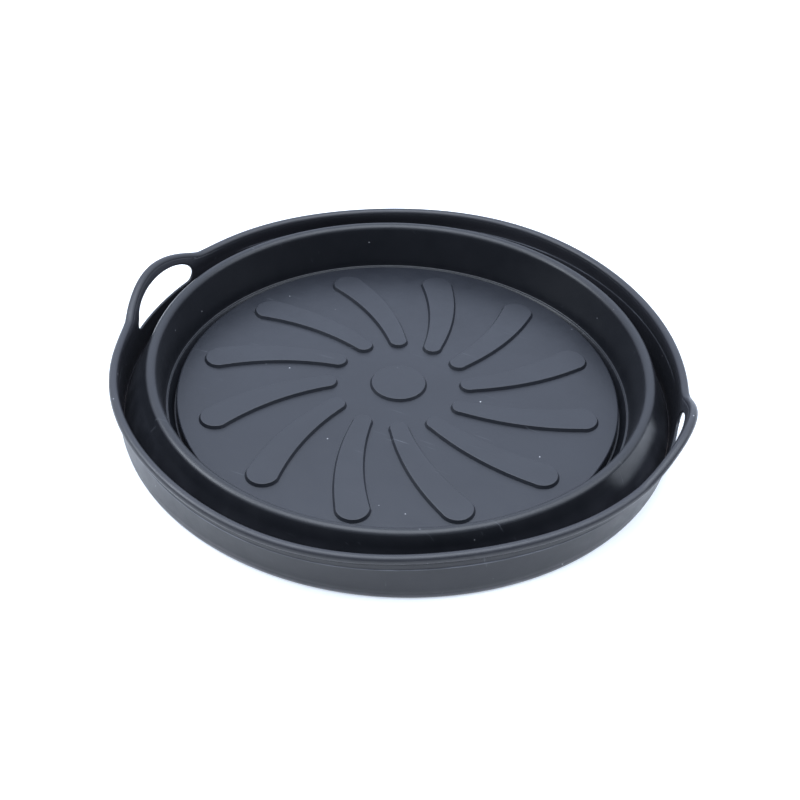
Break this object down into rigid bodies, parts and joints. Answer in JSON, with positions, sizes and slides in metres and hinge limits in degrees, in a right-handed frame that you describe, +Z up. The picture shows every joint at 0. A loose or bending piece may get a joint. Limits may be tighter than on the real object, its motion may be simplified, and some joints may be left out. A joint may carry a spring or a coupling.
{
  "type": "pet bathtub",
  "caption": "Round collapsible silicone pet tub with a domed, ribbed non-slip floor, a fold-down wall and two loop handles drawn up from the rim.",
  "frame": {"origin": "on the tub's axis, at the plane it stands on", "axes": "+Z up along the tub's axis, +X through the middle of handle_right and -X through the middle of handle_left"},
  "size_m": [0.4494, 0.4344, 0.0566],
  "materials": {
    "floor_silicone": "matte, very fine moulded grain, faint sheen from above",
    "wall_silicone": "matte, smooth, with fine mould lines round the folds",
    "rim_silicone": "matte to satin, polished a little where hands hold it"
  },
  "bodies": {
    "basin": {"floor_panel": "floor_silicone", "base_ring": "wall_silicone", "floor_rib_01": "floor_silicone", "floor_rib_02": "floor_silicone", "floor_rib_03": "floor_silicone", "floor_rib_04": "floor_silicone", "floor_rib_05": "floor_silicone", "floor_rib_06": "floor_silicone", "floor_rib_07": "floor_silicone", "floor_rib_08": "floor_silicone", "floor_rib_09": "floor_silicone", "floor_rib_10": "floor_silicone", "floor_rib_11": "floor_silicone", "floor_rib_12": "floor_silicone", "centre_disc": "floor_silicone", "inner_wall": "wall_silicone", "crest_fold": "wall_silicone", "fold_web": "wall_silicone"},
    "rim": {"lower_fold": "wall_silicone", "outer_wall": "wall_silicone", "rim_lip_front": "rim_silicone", "rim_lip_back": "rim_silicone", "handle_left": "rim_silicone", "handle_right": "rim_silicone"}
  },
  "joints": [
    {"name": "wall_fold", "type": "slide", "parent": "basin", "child": "rim", "axis": [0, 0, 1], "range_m": [0, 0.072], "deforming": ["fold_web"]}
  ]
}
